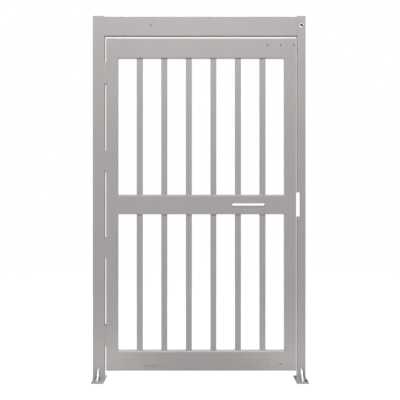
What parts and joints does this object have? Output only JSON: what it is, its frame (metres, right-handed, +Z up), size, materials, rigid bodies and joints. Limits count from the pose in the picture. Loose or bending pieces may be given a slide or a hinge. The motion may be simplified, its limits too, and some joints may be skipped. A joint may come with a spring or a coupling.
{
  "type": "full-height pedestrian gate",
  "caption": "Full-height steel pedestrian gate: two base-plated posts, a header, and a leaf of square bars in a tube frame that swings on butt hinges.",
  "frame": {"origin": "centre of the underside of the hinge post's base plate, on the axis of the post, at ground level", "axes": "+X along the gate to the strike post, +Y to the back, where the leaf opens, +Z up"},
  "size_m": [1.286, 0.232, 2.19],
  "materials": {
    "frame_coat": "satin",
    "leaf_coat": "satin",
    "hinge_steel": "satin",
    "pin_steel": "brushed",
    "sleeve_plastic": "matte"
  },
  "bodies": {
    "frame": {"hinge_post": "frame_coat", "strike_post": "frame_coat", "header": "frame_coat", "hinge_post_cap": "frame_coat", "strike_post_cap": "frame_coat", "hinge_base_plate": "frame_coat", "strike_base_plate": "frame_coat", "hinge_front_gusset": "frame_coat", "hinge_rear_gusset": "frame_coat", "strike_front_gusset": "frame_coat", "strike_rear_gusset": "frame_coat", "strike_pocket": "frame_coat", "cable_sleeve": "sleeve_plastic", "hinge_1_post_leaf": "hinge_steel", "hinge_2_post_leaf": "hinge_steel", "hinge_3_post_leaf": "hinge_steel", "hinge_4_post_leaf": "hinge_steel", "hinge_1_pin": "pin_steel", "hinge_2_pin": "pin_steel", "hinge_3_pin": "pin_steel", "hinge_4_pin": "pin_steel"},
    "gate_leaf": {"hinge_stile": "leaf_coat", "strike_stile": "leaf_coat", "hinge_stile_caps": "leaf_coat", "strike_stile_caps": "leaf_coat", "top_rail": "leaf_coat", "mid_rail": "leaf_coat", "bottom_rail": "leaf_coat", "grip_liner": "leaf_coat", "upper_bar_1": "leaf_coat", "upper_bar_2": "leaf_coat", "upper_bar_3": "leaf_coat", "upper_bar_4": "leaf_coat", "upper_bar_5": "leaf_coat", "upper_bar_6": "leaf_coat", "lower_bar_1": "leaf_coat", "lower_bar_2": "leaf_coat", "lower_bar_3": "leaf_coat", "lower_bar_4": "leaf_coat", "lower_bar_5": "leaf_coat", "lower_bar_6": "leaf_coat", "hinge_1_gate_leaf": "hinge_steel", "hinge_2_gate_leaf": "hinge_steel", "hinge_3_gate_leaf": "hinge_steel", "hinge_4_gate_leaf": "hinge_steel"}
  },
  "joints": [
    {"name": "gate_hinge", "type": "hinge", "parent": "frame", "child": "gate_leaf", "pos_m": [0.04, 0.03305, 0], "axis": [0, 0, 1], "range_deg": [0, 105]}
  ]
}
